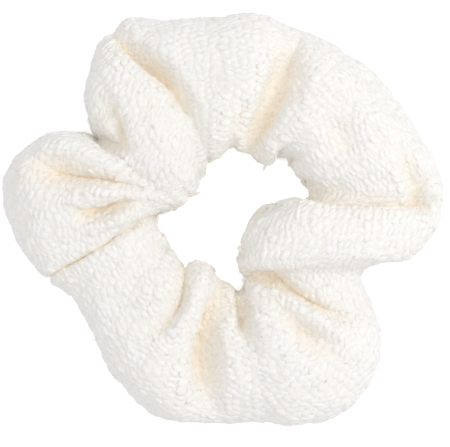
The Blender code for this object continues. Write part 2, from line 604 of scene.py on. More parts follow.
FOLDS: tuple[Fold, ...] = (
    Fold(
        "upper_left_roll",
        ((-34.0, 54.1, 3.5), (-31.3, 50.3, 8), (-27.7, 47.3, 10.5), (-23.6, 44.1, 11),
         (-19.9, 40.7, 10), (-16.9, 37.1, 7), (-14.0, 32.9, 4.5), (-10.4, 28.2, 2.2),
         (-7.3, 23.0, 1), (-5.5, 18.9, 0.2)),
        (8.0, 0.0), (5.0, 1.0), -2.6,
    ),
    Fold(
        "outer_lip_of_roll",
        ((-34.2, 38.3, 0.4), (-32.9, 34.6, 2.6), (-31.4, 30.8, 4.6), (-30.1, 27.2, 6),
         (-29.5, 23.9, 6.6), (-30.5, 21.1, 5), (-33.1, 21.1, 4), (-35.5, 22.3, 3)),
        (4.0, 0.8), (6.5, 0.3), 0.8,
    ),
    Fold(
        "left_lobe_upper_crease",
        ((-54.8, 16.6, 0.5), (-51.8, 15.9, 3), (-48.2, 15.2, 5.5), (-43.8, 14.4, 7.5),
         (-39.4, 13.9, 8.5), (-35.0, 13.3, 8.5), (-31.2, 12.6, 6.6), (-27.1, 11.6, 4.2),
         (-23.3, 10.5, 1.8), (-20.1, 9.6, 0.4)),
        (4.6, 0.9), (5.4, 0.3), 1.0,
    ),
    Fold(
        "ridge_over_pocket",
        ((-46.3, 1.0, -0.2), (-45.7, 4.8, -0.9), (-42.7, 7.6, -1.3), (-37.2, 8.7, -1.4),
         (-32.2, 8.5, -1.3), (-27.8, 7.6, -0.9), (-23.6, 6.3, -0.3), (-20.7, 5.4, -0.1)),
        (3.8, 0.0), (4.0, 0.0), 0.0,
    ),
    Fold(
        "left_lobe_pocket",
        ((-43.6, 4.4, 2), (-41.2, 3.7, 6), (-38.4, 3.7, 9), (-35.5, 4.4, 9.5), (-32.6, 5.6, 8.5),
         (-29.6, 6.4, 5.5), (-26.6, 6.4, 2)),
        (3.2, 1.0), (6.5, 0.05), 1.0,
    ),
    Fold(
        "ridge_below_pocket",
        ((-41.9, -1.0, -0.5), (-37.2, -1.6, -1.6), (-32.5, -0.1, -2), (-27.8, 2.5, -1.5),
         (-24.2, 4.3, -0.4)),
        (3.2, 0.0), (3.2, 0.0), 0.0,
    ),
    Fold(
        "left_lobe_top_band",
        ((-61.8, 13.1, -0.3), (-58.3, 18.9, -1.2), (-51.8, 22.2, -1.6), (-43.9, 21.3, -1.6),
         (-36.6, 18.9, -1.3), (-29.2, 16.9, -0.9), (-23.1, 15.4, -0.3)),
        (4.5, 0.0), (4.5, 0.0), 0.0,
    ),
    Fold(
        "lower_left_panel_edge",
        ((-11.2, -11.6, 2.5), (-11.6, -15.7, 6.5), (-12.0, -19.8, 8), (-12.5, -23.2, 8),
         (-13.7, -26.4, 6.5), (-15.9, -29.3, 4.8), (-18.8, -32.0, 3.2), (-22.5, -33.5, 1.6),
         (-26.6, -33.3, 0.3)),
        (3.2, 0.7), (7.5, 0.85), -1.0,
    ),
    Fold(
        "pleat_beside_panel",
        ((-4.8, -12.2, -0.6), (-6.9, -18.9, -1.5), (-9.5, -25.4, -1.8), (-13.4, -31.6, -1.6),
         (-18.1, -37.7, -1.2), (-23.1, -43.3, -0.4)),
        (3.4, 0.0), (3.4, 0.0), 0.0,
    ),
    Fold(
        "bottom_pleat",
        ((0.4, -15.7, 2), (-1.0, -19.8, 3.6), (-2.5, -23.3, 5.5), (-4.1, -27.2, 8),
         (-5.4, -30.7, 9), (-6.3, -34.5, 9), (-6.9, -38.6, 8), (-6.9, -43.3, 6.5),
         (-6.3, -48.3, 4.2), (-4.8, -53.3, 1.5)),
        (7.0, 0.15), (5.0, 0.95), 0.0,
    ),
    Fold(
        "bottom_hollow",
        ((-5.7, -32.2, 0), (-6.6, -36.6, 3), (-6.6, -41.0, 4), (-6.0, -46.3, 3), (-5.1, -51.5, 1.2)),
        (7.5, 0.0), (7.0, 0.0), 0.0,
    ),
    Fold(
        "pleat_above_pocket",
        ((1.3, -16.3, -0.5), (-1.0, -22.8, -1.6), (-1.9, -29.2, -1.8), (0.1, -36.0, -1.5),
         (3.4, -42.7, -0.8), (5.4, -50.4, -0.2)),
        (2.6, 0.0), (2.6, 0.0), 0.0,
    ),
    Fold(
        "bottom_pocket",
        ((4.2, -19.2, 1), (3.3, -21.9, 5), (3.1, -25.1, 8.5), (3.2, -28.1, 8.5), (3.7, -31.1, 6.5),
         (5.0, -33.7, 3), (7.2, -37.5, 0.8)),
        (6.5, 0.1), (2.8, 1.0), -0.6,
    ),
    Fold(
        "tongue_lower_edge",
        ((4.2, -16.5, 1.4), (6.6, -15.6, 4.4), (9.6, -15.2, 7.6), (14.1, -15.8, 9),
         (17.8, -16.8, 9), (21.4, -18.9, 8), (24.9, -21.3, 8), (28.3, -23.5, 6.2), (32.3, -25.4, 4),
         (36.9, -26.1, 2), (42.1, -26.5, 0.6)),
        (4.4, 1.0), (5.6, 0.05), 1.4,
    ),
    Fold(
        "lower_right_crease",
        ((13.4, -21.6, 0.5), (16.3, -24.8, 2.2), (19.2, -28.6, 3.8), (22.2, -31.9, 4.8),
         (25.7, -33.9, 4.2), (28.9, -34.5, 1.2)),
        (5.0, 0.3), (4.2, 0.4), 0.0,
    ),
    Fold(
        "tongue_upper_edge",
        ((21.9, 8.0, 1.5), (24.5, 7.3, 4.2), (28.6, 6.4, 4.6), (33.9, 5.5, 4.8), (39.8, 5.2, 4.8),
         (45.7, 4.6, 4.8), (51.5, 4.3, 5.2), (55.9, 4.4, 5.8), (59.4, 4.2, 4.2), (60.6, 1.9, 1.2)),
        (4.8, 0.15), (3.6, 0.95), -0.8,
    ),
    Fold(
        "right_crease",
        ((50.7, 24.2, 0.3), (52.7, 19.5, 2.2), (54.5, 15.1, 3.8), (56.2, 10.7, 4.8),
         (57.7, 7.2, 5.2), (58.6, 4.8, 4)),
        (4.2, 0.5), (5.0, 0.3), 0.0,
    ),
    Fold(
        "upper_crease",
        ((22.5, 52.4, 1), (20.3, 47.9, 4), (18.6, 43.5, 5.2), (17.2, 38.8, 5.8), (15.7, 34.4, 7),
         (14.0, 30.2, 8), (12.2, 26.7, 8), (10.1, 22.9, 6.2), (8.2, 20.0, 4), (6.7, 17.4, 1.8)),
        (4.0, 0.95), (8.0, 0.05), 0.8,
    ),
    Fold(
        "upper_hollow",
        ((23.9, 51.8, 0.5), (20.4, 45.4, 3), (18.1, 38.3, 3), (16.0, 32.5, 1)),
        (8.0, 0.0), (8.0, 0.0), 0.0,
    ),
    Fold(
        "small_upper_crease",
        ((8.1, 37.2, 0.2), (5.7, 32.7, 2), (4.0, 28.0, 2.8), (2.2, 23.1, 2.2), (1.0, 19.8, 1)),
        (4.5, 0.3), (4.5, 0.2), 0.0,
    ),
    Fold(
        "right_dimple",
        ((29.8, 31.9, 0), (32.7, 27.2, 1.6), (35.1, 21.9, 1.9), (36.3, 16.6, 0.4)),
        (8.0, 0.0), (7.0, 0.0), 0.0,
    ),
    Fold(
        "roll_dimple",
        ((-28.3, 43.6, 0), (-25.1, 35.4, 1), (-23.1, 28.3, 1.5), (-23.3, 21.9, 0.5)),
        (8.0, 0.0), (7.0, 0.0), 0.0,
    ),
    Fold(
        "left_lobe_hollow",
        ((-59.5, 15.7, 0.4), (-55.4, 15.7, 3.2), (-50.7, 15.1, 5), (-46.0, 14.5, 4.6),
         (-41.3, 13.8, 2.4), (-37.2, 13.1, 0.4)),
        (7.0, 0.0), (9.5, 0.0), 0.0,
    ),
    Fold(
        "lower_right_hollow",
        ((19.8, -29.2, 0), (23.3, -33.0, 2.2), (26.9, -35.7, 3), (30.4, -38.6, 2.2),
         (33.3, -42.7, 0.4)),
        (6.5, 0.0), (7.5, 0.0), 0.0,
    ),
)


def eased(value: np.ndarray) -> np.ndarray:
    """Smooth step of a value held between 0 and 1."""
    held = np.clip(value, 0.0, 1.0)
    return held * held * (3.0 - 2.0 * held)


def softly_above(height: np.ndarray, radius: float) -> np.ndarray:
    """Heights kept above nothing, with a rounded turn of this radius instead of a crease."""
    return 0.5 * (height + np.sqrt(height**2 + radius**2))


def rolling_noise(points: np.ndarray, wavelength: float, seed: int, terms: int = 14) -> np.ndarray:
    """Smooth undulation made of a few waves in random directions.

    Args:
        points: Where it is read, with the coordinates last.
        wavelength: The waves' mean length.
        seed: Which set of waves.
        terms: How many waves.

    Returns:
        Values of about -1 to 1.
    """
    random = np.random.default_rng(seed)
    total = np.zeros(points.shape[:-1])
    for _ in range(terms):
        direction = random.normal(size=points.shape[-1])
        direction /= np.linalg.norm(direction)
        pitch = math.tau / (wavelength * random.uniform(0.7, 1.5))
        total += np.sin(points @ direction * pitch + random.uniform(0.0, math.tau))
    return total / math.sqrt(terms)


def unit(vectors: np.ndarray, least: float = TINY) -> np.ndarray:
    """Vectors brought to length one, except where they are shorter than the least length."""
    return vectors / np.maximum(np.linalg.norm(vectors, axis=-1, keepdims=True), least)


def grid_normals(points: np.ndarray) -> np.ndarray:
    """Outward unit normals of a grid of points.

    Args:
        points: Columns by rows by three.

    Returns:
        Normals of the same shape.
    """
    return unit(np.cross(np.gradient(points, axis=0), np.gradient(points, axis=1)))


def relaxed(points: np.ndarray, rounds: int, share: float = 0.5) -> np.ndarray:
    """Even out a grid a little, with its border held.

    Args:
        points: Columns by rows by anything.
        rounds: How many passes.
        share: How far each point goes to its neighbours' mean.

    Returns:
        The evened grid.
    """
    out = points.copy()
    for _ in range(rounds):
        mean = (out[:-2, 1:-1] + out[2:, 1:-1] + out[1:-1, :-2] + out[1:-1, 2:]) / 4.0
        out[1:-1, 1:-1] += share * (mean - out[1:-1, 1:-1])
    return out


def deselect_all() -> None:
    """Leave nothing selected."""
    bpy.ops.object.select_all(action="DESELECT")


def take_pattern(cuts: tuple[float, ...] = ()) -> tuple[np.ndarray, np.ndarray]:
    """Cut the active object across at some heights, read its triangles and delete it.

    Args:
        cuts: The heights.

    Returns:
        Its vertices and its triangles, which are sorted, because Blender's own order varies.
    """
    pattern = bpy.context.object
    bpy.ops.object.mode_set(mode="EDIT")
    for height in cuts:
        bpy.ops.mesh.select_all(action="SELECT")
        bpy.ops.mesh.bisect(plane_co=(0.0, 0.0, height), plane_no=(0.0, 0.0, 1.0))
    bpy.ops.mesh.select_all(action="SELECT")
    bpy.ops.mesh.quads_convert_to_tris()
    bpy.ops.object.mode_set(mode="OBJECT")
    points = np.array([vertex.co for vertex in pattern.data.vertices])
    faces = np.array([polygon.vertices for polygon in pattern.data.polygons])
    bpy.data.objects.remove(pattern, do_unlink=True)
    lowest_first = (faces.argmin(axis=1)[:, None] + np.arange(3)) % 3
    faces = np.take_along_axis(faces, lowest_first, axis=1)
    return points, faces[np.lexsort(faces.T[::-1])]


def copied(faces: np.ndarray, size: int, count: int) -> np.ndarray:
    """Faces of many copies of one pattern.

    Args:
        faces: The pattern's triangles.
        size: How many vertices the pattern has.
        count: How many copies.

    Returns:
        The triangles of all the copies, whose vertices follow one another.
    """
    return (faces[None] + size * np.arange(count)[:, None, None]).reshape(-1, 3)


def point_values(piece: bpy.types.Object, name: str, values: np.ndarray) -> None:
    """Give each vertex of a piece a number that its material reads."""
    attribute = piece.data.attributes.new(name, "FLOAT", "POINT")
    attribute.data.foreach_set("value", values.astype(np.float32).ravel())


def face_map(piece: bpy.types.Object, name: str, values: np.ndarray) -> None:
    """Give each face corner of a piece two numbers that its material reads."""
    layer = piece.data.uv_layers.new(name=name)
    layer.data.foreach_set("uv", values.astype(np.float32).ravel())


def put_on_cover(piece: bpy.types.Object, material: bpy.types.Material) -> None:
    """Give a piece its material, and let it ride on the cover's body."""
    piece.data.materials.append(material)
    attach(piece, Body.COVER.value)


def mesh_piece(name: str, points: np.ndarray, faces: np.ndarray) -> bpy.types.Object:
    """Make an object from points and faces, in the frame's own place.

    Args:
        name: The piece's name.
        points: Its vertices.
        faces: Its faces, all of one size.

    Returns:
        The new object, shaded smooth.
    """
    mesh = bpy.data.meshes.new(name)
    mesh.vertices.add(len(points))
    mesh.vertices.foreach_set("co", np.ascontiguousarray(points, np.float32).ravel())
    sides = faces.shape[1]
    mesh.loops.add(faces.size)
    mesh.loops.foreach_set("vertex_index", np.ascontiguousarray(faces, np.int32).ravel())
    mesh.polygons.add(len(faces))
    mesh.polygons.foreach_set("loop_start", np.arange(0, faces.size, sides, dtype=np.int32))
    mesh.update(calc_edges=True)
    mesh.validate()
    mesh.shade_smooth()
    piece = bpy.data.objects.new(name, mesh)
    bpy.context.scene.collection.objects.link(piece)
    return piece


@dataclass
class ClothCover:
    """The gathered cloth tube, from its plain section to its finished weave."""

    finish: WovenCloth
    columns: int = 620
    rows: int = 158
    seam_height: float = 0.0165
    below_seam: float = 0.0195
    roundness: float = 0.80
    warp_pitch: float = 0.00205
    weft_pitch: float = 0.00260
    yarn_relief: float = 0.00040
    inset: float = 0.0009
    lowest: float = 0.0006
    outline_steps: int = 720
    inner_share: float = 0.35
    suppleness: float = 0.9
    pleats: float = 21.0
    inner_pleat: float = 0.0017
    lower_pleat: float = 0.0031
    elastic_room: float = 0.0042
    long_groove: float = 0.0022
    closing_groove: float = 0.0022
    panel_lines: tuple[int, ...] = (6, 8, 13, 18, 23, 27, 31)
    points: np.ndarray = field(init=False)
    normals: np.ndarray = field(init=False)
    even_normals: np.ndarray = field(init=False)
    depth: np.ndarray = field(init=False)
    from_seam: np.ndarray = field(init=False)
    line_columns: np.ndarray = field(init=False)
    panels: list[tuple[int, int, np.ndarray]] = field(init=False)

    def gather_table(self) -> np.ndarray:
        """Ease between the gather lines, round the ring.

        Returns:
            For each column: inner X and Y, outer X and Y, and crown height, in metres.
        """
        knots = np.array([(*line.inner, *line.outer, line.crown) for line in GATHER_LINES]) * MM
        after = np.roll(knots, -1, axis=0)
        step = np.linalg.norm((after - knots)[:, 2:4], axis=1)
        step += self.inner_share * np.linalg.norm((after - knots)[:, :2], axis=1)
        places = np.concatenate([[0.0], np.cumsum(step)])
        before_step = np.roll(step, 1)
        slope = (after - np.roll(knots, 1, axis=0)) / (step + before_step)[:, None]
        wanted = np.linspace(0.0, places[-1], self.columns + 1)
        index = np.clip(np.searchsorted(places, wanted, side="right") - 1, 0, len(knots) - 1)
        following = (index + 1) % len(knots)
        t = ((wanted - places[index]) / step[index])[:, None]
        reach = step[index][:, None]
        self.line_columns = np.round(places[:-1] / places[-1] * self.columns).astype(int)
        return (
            knots[index] * (2 * t**3 - 3 * t**2 + 1)
            + slope[index] * reach * (t**3 - 2 * t**2 + t) * self.suppleness
            + knots[following] * (3 * t**2 - 2 * t**3)
            + slope[following] * reach * (t**3 - t**2) * self.suppleness
        )

    def plain_tube(self) -> np.ndarray:
        """The tube before it is creased, with even steps round its section.

        Returns:
            Columns by rows by three.
        """
        table = self.gather_table()
        turn = np.linspace(math.pi, 3.0 * math.pi, self.outline_steps)
        ways = (np.cos(turn), np.sin(turn))
        across, rise = (np.sign(way) * np.abs(way) ** self.roundness for way in ways)
        points = np.zeros((self.columns + 1, self.rows + 1, 3))
        for index, row in enumerate(table):
            inner, outer, crown = row[:2], row[2:4], row[4]
            half = np.linalg.norm(outer - inner) / 2.0 - self.inset
            up = np.where(rise > 0, crown - self.inset - self.seam_height, self.below_seam)
            height = self.seam_height + rise * up
            height = softly_above(height, 0.9 * MM)
            reach = across * half
            length = np.concatenate([[0.0], np.cumsum(np.hypot(np.diff(reach), np.diff(height)))])
            even = np.linspace(0.0, length[-1], self.rows + 1)
            away = (outer - inner) / np.linalg.norm(outer - inner)
            points[index, :, :2] = (inner + outer) / 2.0 + np.interp(even, length, reach)[:, None] * away
            points[index, :, 2] = np.interp(even, length, height)
        return points

    def press_fold(
        self, fold: Fold, points: np.ndarray, normals: np.ndarray
    ) -> tuple[np.ndarray, np.ndarray]:
        """Work out how one crease moves the cloth.

        Args:
            fold: The crease.
            points: The cloth before creasing.
            normals: Its outward normals.

        Returns:
            How far each point moves, and how deep in the crease it lies from 0 to 1.
        """
        path = np.array(fold.path) * MM
        plan = points[..., :2]
        nearest = np.full(plan.shape[:-1], np.inf)
        depth = np.zeros_like(nearest)
        side = np.zeros_like(nearest)
        square = np.zeros_like(plan)
        for start, end in zip(path[:-1], path[1:]):
            run = end[:2] - start[:2]
            share = np.clip(((plan - start[:2]) @ run) / (run @ run), 0.0, 1.0)
            away = plan - start[:2] - share[..., None] * run
            distance = np.linalg.norm(away, axis=-1)
            closer = distance < nearest
            nearest = np.where(closer, distance, nearest)
            depth = np.where(closer, start[2] + share * (end[2] - start[2]), depth)
            left = np.array([-run[1], run[0]]) / np.linalg.norm(run)
            side = np.where(closer, away @ left, side)
            square = np.where(closer[..., None], left, square)
        sharing = eased(0.5 + side / (1.2 * MM))
        width = (fold.right[0] + (fold.left[0] - fold.right[0]) * sharing) * MM
        crisp = fold.right[1] + (fold.left[1] - fold.right[1]) * sharing
        q = np.clip(1.0 - nearest / width, 0.0, 1.0)
        shape = crisp * (1.0 - np.sqrt(1.0 - q**2)) + (1.0 - crisp) * eased(q)
        on_top = eased((points[..., 2] - 2.0 * MM) / (14.0 * MM))
        outward = unit(normals + np.array([0.0, 0.0, 1.0]), least=0.3)
        moved = -outward * (shape * depth * on_top)[..., None]
        if fold.lip:
            own = sharing if fold.lip > 0 else 1.0 - sharing
            reach = abs(fold.lip) * MM * np.clip(depth / (8.0 * MM), 0.0, 1.0)
            push = own * eased(1.0 - nearest / (1.5 * width)) * reach * on_top
            moved[..., :2] -= math.copysign(1.0, fold.lip) * square * push[..., None]
        return moved, shape * np.clip(depth / (6.0 * MM), 0.0, 1.0) * on_top

    def clear_of_elastic(self, points: np.ndarray, row: np.ndarray) -> np.ndarray:
        """Keep the wall of the hair opening inside the elastic's circle.

        Args:
            points: The creased tube.
            row: Each row's share of the way across the strip.

        Returns:
            The tube, with that wall drawn in where it came too near.
        """
        low, high = (np.array(corner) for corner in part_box("elastic_band"))
        middle = (low + high)[:2] / 2.0
        limit = (high - low)[:2].mean() / 2.0 - self.elastic_room
        away = points[..., :2] - middle
        radius = np.linalg.norm(away, axis=-1)
        wall = eased((np.abs(row - 0.5) - 0.26) * 12.0)
        above = eased((points[..., 2] - (low[2] - 4.0 * MM)) / (3.0 * MM))
        below = eased((high[2] + 4.0 * MM - points[..., 2]) / (3.0 * MM))
        over = np.maximum(radius - limit, 0.0) * wall * above * below
        out = points.copy()
        out[..., :2] -= away * (over / np.maximum(radius, MM))[..., None]
        return out

    def creased(self, points: np.ndarray) -> np.ndarray:
        """Press every crease, pleat and undulation into the plain tube.

        Args:
            points: The plain tube.

        Returns:
            The creased tube.
        """
        normals = grid_normals(points)
        moved = np.zeros_like(points)
        deep = np.zeros(points.shape[:-1])
        for fold in FOLDS:
            shift, near = self.press_fold(fold, points, normals)
            moved += shift
            deep = np.maximum(deep, near)
        row = np.linspace(0.0, 1.0, self.rows + 1)[None, :]
        inner_side = eased((0.5 - np.minimum(row, 1.0 - row) * 3.4) * 2.0)
        lower_side = eased((0.52 - row) * 8.0) * eased((row - 0.03) * 12.0)
        column = np.linspace(0.0, 1.0, self.columns + 1)[:, None]
        wander = 0.35 * np.sin(column * 23.0) + 0.5 * np.sin(column * 11.0 + 1.0)
        pleat = 0.5 - 0.5 * np.cos(math.tau * self.pleats * column + wander + 2.0 * row)
        step = np.linalg.norm(np.gradient(points, axis=0), axis=-1)
        open_cloth = eased((step / np.median(step, axis=0, keepdims=True) - 0.35) * 2.0)
        sink = self.inner_pleat * inner_side * pleat**2 * open_cloth
        sink = sink + self.lower_pleat * lower_side * pleat**3
        for amount, wavelength, seed in ((0.55 * MM, 19.0 * MM, 4), (0.22 * MM, 7.5 * MM, 9)):
            sink = sink - amount * rolling_noise(points, wavelength, seed)
        out = points + moved - normals * sink[..., None]
        out = relaxed(out, 3)
        clear = out[..., 2] - self.lowest
        out[..., 2] = self.lowest + softly_above(clear, 0.8 * MM)
        out = self.clear_of_elastic(out, row)
        ends = np.linalg.norm(out - out[:1], axis=-1)
        from_end = np.minimum(ends, np.linalg.norm(out - out[-1:], axis=-1))
        from_edge = np.minimum(
            np.linalg.norm(out - out[:, :1], axis=-1), np.linalg.norm(out - out[:, -1:], axis=-1)
        )
        normals = grid_normals(relaxed(out, 6))
        for distance, groove in ((from_end, self.closing_groove), (from_edge, self.long_groove)):
            q = np.clip(1.0 - distance / groove, 0.0, 1.0)
            out = out - normals * ((1.0 - np.sqrt(1.0 - q**2)) * groove * open_cloth)[..., None]
            # Seam grooves count as deep too, so the painted shade and glow of folds reach them.
            deep = np.maximum(deep, q**2 * 0.8)
        self.depth = deep
        self.from_seam = np.minimum(from_end, from_edge)
        return out

    def yarn_counts(self, points: np.ndarray) -> list[tuple[int, int, np.ndarray]]:
        """Count yarns over each panel between its deepest creases, at an even pitch.

        Args:
            points: The creased tube.

        Returns:
            First and last column of each panel, with the yarn counts of its points.
        """
        along = np.linalg.norm(np.diff(points, axis=0), axis=-1)
        along = np.concatenate([np.zeros((1, along.shape[1])), np.cumsum(along, axis=0)])
        girth = np.linalg.norm(np.diff(points, axis=1), axis=-1).sum(axis=1)
        share = np.linspace(0.0, 1.0, self.rows + 1)[None, :]
        cuts = [0, *(int(self.line_columns[i]) for i in self.panel_lines), self.columns]
        panels = []
        for number, (first, last) in enumerate(zip(cuts[:-1], cuts[1:])):
            middle = (first + last) // 2
            block = slice(first, last + 1)
            s = (along[block] - along[middle]) / self.weft_pitch
            t = np.repeat(share * girth[block].mean() / self.warp_pitch, last + 1 - first, axis=0)
            place = points[block]
            s = s + 0.33 * rolling_noise(place, 8.0 * MM, 31 + number) + 400.0 + 17.0 * number
            t = t + 0.33 * rolling_noise(place, 8.0 * MM, 61 + number) + 400.0 + 29.0 * number
            panels.append((first, last, np.stack([s, t], axis=-1)))
        return panels

    def weave_height(self, counts: np.ndarray) -> np.ndarray:
        """Height of a plain weave's upper yarn.

        Args:
            counts: Yarn counts across and along.

        Returns:
            Height, from about -0.3 to 1.
        """
        cell = np.floor(counts)
        f = counts - cell - 0.5
        sign = 1.0 - 2.0 * ((cell[..., 0] + cell[..., 1]) % 2.0)
        luck = np.sin(cell[..., 0] * 12.9898 + cell[..., 1] * 78.233) * 43758.5453
        luck = luck - np.floor(luck)
        lift = self.finish.lift * (0.6 + 0.8 * luck) * sign
        section = self.finish.yarn * np.sqrt(1.0 - YARN_ROUNDNESS * (2 * f) ** 2)
        arch = lift[..., None] * np.cos(f * math.pi)
        return np.maximum(arch[..., 1] + section[..., 0], section[..., 1] - arch[..., 0])

    def build(self) -> bpy.types.Object:
        """Shape, crease and weave the cover.

        Returns:
            The finished cover.
        """
        points = self.creased(self.plain_tube())
        self.panels = self.yarn_counts(points)
        normals = grid_normals(points)
        raised = np.zeros(points.shape[:-1])
        for first, last, counts in self.panels:
            raised[first : last + 1] = self.weave_height(counts)
        thick = self.yarn_relief * (1.0 + 0.35 * rolling_noise(points, 5.0 * MM, 77))
        points = points + normals * (thick * (raised - 0.45))[..., None]
        points[..., 2] = np.maximum(points[..., 2], FLOOR_GAP)
        self.points, self.normals = points, grid_normals(points)
        self.even_normals = grid_normals(relaxed(points, 7))
        height = self.rows + 1
        index = np.arange((self.columns + 1) * height).reshape(self.columns + 1, height)
        faces = np.stack([index[:-1, :-1], index[1:, :-1], index[1:, 1:], index[:-1, 1:]], axis=-1)
        piece = mesh_piece("gathered_cloth_cover", points.reshape(-1, 3), faces.reshape(-1, 4))
        corners = np.zeros((self.columns, self.rows, 4, 2), np.float32)
        for first, last, counts in self.panels:
            span = slice(first, last)
            around = (counts[:-1, :-1], counts[1:, :-1], counts[1:, 1:], counts[:-1, 1:])
            corners[span] = np.stack(around, axis=2)
        face_map(piece, "yarn_count", corners)
        # fold_depth drives the painted shade and painted glow of deep folds.
        point_values(piece, "fold_depth", self.depth)
        put_on_cover(piece, self.finish.material())
        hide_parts("fabric_cover")
        LOG.info("cover: %d faces", len(piece.data.polygons))
        return piece


@dataclass(frozen=True)
class Places:
    """Where crowns sit: their centres, the yarn's direction, outward normals, depths and breadths."""

    centre: np.ndarray
    along: np.ndarray
    normal: np.ndarray
    depth: np.ndarray
    spread: np.ndarray


@dataclass
class YarnCrowns:
    """The crowns where each slubby yarn rises over the yarns it crosses, bedded in the cloth."""

    cover: ClothCover
    finish: CrownYarn
    length: float = 0.00375
    width: float = 0.00188
    height: float = 0.00102
    bed: float = -0.00030
    seam_gap: float = 0.0009
    least_level: float = 0.55
    farthest: float = 0.00075
    longest_move: float = 0.0006
    segments: int = 8
    rings: int = 4
    parts: tuple[str, ...] = ("lower_left", "lower_right", "right", "top")

    def bead(self) -> tuple[np.ndarray, np.ndarray]:
        """Model one crown.

        Returns:
            Its vertices, within one unit of its middle, and its triangles.
        """
        deselect_all()
        bpy.ops.mesh.primitive_uv_sphere_add(segments=self.segments, ring_count=self.rings, radius=1.0)
        return take_pattern()

    def places(self) -> Places:
        """Find the middle of every crown: a brick pattern counted in yarns over each panel.

        Returns:
            The crowns' places, in order round the ring.
        """
        points, normals = self.cover.points, self.cover.even_normals
        level = np.sum(normals * self.cover.normals, axis=-1)
        by_column = np.gradient(points, axis=0)
        by_row = np.gradient(points, axis=1)
        found = []
        for first, last, counts in self.cover.panels:
            span = slice(first, last + 1)
            column = np.floor(counts[..., 0])
            shifted = counts[..., 1] - 0.5 * (column % 2.0)
            row = np.floor(shifted)
            off = np.stack([counts[..., 0] - column - 0.5, shifted - row - 0.5], axis=-1)
            far = (off[..., 0] * self.cover.weft_pitch) ** 2
            far += (off[..., 1] * self.cover.warp_pitch) ** 2
            key = (column * 4096.0 + row).ravel()
            order = np.lexsort((far.ravel(), key))
            _, starts = np.unique(key[order], return_index=True)
            chosen = order[starts]
            clear = self.cover.from_seam[span].ravel()[chosen] > self.seam_gap
            clear &= level[span].ravel()[chosen] > self.least_level
            chosen = chosen[clear & (far.ravel()[chosen] < self.farthest**2)]
            d_column = np.gradient(counts, axis=0).reshape(-1, 2)[chosen]
            d_row = np.gradient(counts, axis=1).reshape(-1, 2)[chosen]
            p_column = by_column[span].reshape(-1, 3)[chosen]
            p_row = by_row[span].reshape(-1, 3)[chosen]
            area = d_column[:, 0] * d_row[:, 1] - d_column[:, 1] * d_row[:, 0]
            area = np.where(np.abs(area) < 1e-3, 1e-3, area)[:, None]
            along = (p_column * d_row[:, 1:] - p_row * d_column[:, 1:]) / area
            across = (p_row * d_column[:, :1] - p_column * d_row[:, :1]) / area
            shift = -off.reshape(-1, 2)[chosen]
            move = along * shift[:, :1] + across * shift[:, 1:]
            length = np.linalg.norm(move, axis=1, keepdims=True)
            move *= np.minimum(1.0, self.longest_move / np.maximum(length, TINY))
            centre = points[span].reshape(-1, 3)[chosen] + move
            where = first + chosen // points.shape[1]
            spread = np.clip(np.linalg.norm(across, axis=1) / self.cover.warp_pitch, 0.72, 1.25)
            normal = normals[span].reshape(-1, 3)[chosen]
            depth = self.cover.depth[span].ravel()[chosen]
            found.append((where, centre, along, normal, depth, spread))
        where, *joined = (np.concatenate(each) for each in zip(*found))
        order = np.argsort(where, kind="stable")
        return Places(*(each[order] for each in joined))

    def build(self) -> list[bpy.types.Object]:
        """Copy the crown over the whole cloth, each copy with its own size, slant and lumps.

        Returns:
            The crowns of each quarter of the ring.
        """
        bead, faces = self.bead()
        at = self.places()
        random = np.random.default_rng(21)
        count = len(at.centre)
        luck = random.random(count)
        kind = random.random(count)
        nub, float_yarn = kind > 0.95, kind < 0.035
        length = self.length / 2.0 * np.exp(random.normal(0.0, 0.11, count))
        length *= np.where(float_yarn, 1.7, 1.0)
        width = self.width / 2.0 * np.exp(random.normal(0.0, 0.09, count))
        width = width * np.where(nub, 1.4, 1.0) * at.spread
        height = self.height / 2.0 * np.exp(random.normal(0.0, 0.14, count))
        height *= np.where(nub, 1.3, 1.0) * np.where(float_yarn, 1.15, 1.0)
        turn = random.normal(0.0, 0.13, count) + np.where(float_yarn, 0.5 * np.sign(luck - 0.5), 0.0)
        normal = at.normal
        x_axis = unit(at.along - normal * np.sum(at.along * normal, axis=1, keepdims=True))
        y_axis = np.cross(normal, x_axis)
        x_axis, y_axis = (
            x_axis * np.cos(turn)[:, None] + y_axis * np.sin(turn)[:, None],
            y_axis * np.cos(turn)[:, None] - x_axis * np.sin(turn)[:, None],
        )
        lumps = 1.0 + random.normal(0.0, 0.07, (count, len(bead)))
        x, y, z = (bead[None, :, i] * lumps for i in range(3))
        z = z - 0.14 * x**2
        jitter = random.normal(0.0, 0.00009, (count, 2))
        centre = at.centre + x_axis * jitter[:, :1] + y_axis * jitter[:, 1:] + normal * self.bed
        points = (
            centre[:, None, :]
            + x_axis[:, None, :] * (x * length[:, None])[..., None]
            + y_axis[:, None, :] * (y * width[:, None])[..., None]
            + normal[:, None, :] * (z * height[:, None])[..., None]
        )
        points[..., 2] = np.maximum(points[..., 2], FLOOR_GAP)
        lie = np.stack([x * length[:, None], y * width[:, None]], axis=-1) / MM
        lie += luck[:, None, None] * 37.0
        material = self.finish.material()
        pieces = []
        for part, chosen in zip(self.parts, np.array_split(np.arange(count), len(self.parts))):
            index = copied(faces, len(bead), len(chosen))
            piece = mesh_piece("yarn_crowns_" + part, points[chosen].reshape(-1, 3), index)
            face_map(piece, "yarn_lie", lie[chosen].reshape(-1, 2)[index.ravel()])
            point_values(piece, "luck", np.repeat(luck[chosen], len(bead)))
            # fold_depth and rise drive the painted shade and painted glow of each crown.
            point_values(piece, "fold_depth", np.repeat(at.depth[chosen], len(bead)))
            point_values(piece, "rise", z[chosen])
            put_on_cover(piece, material)
            LOG.info("%s: %d crowns", piece.name, len(chosen))
            pieces.append(piece)
        return pieces


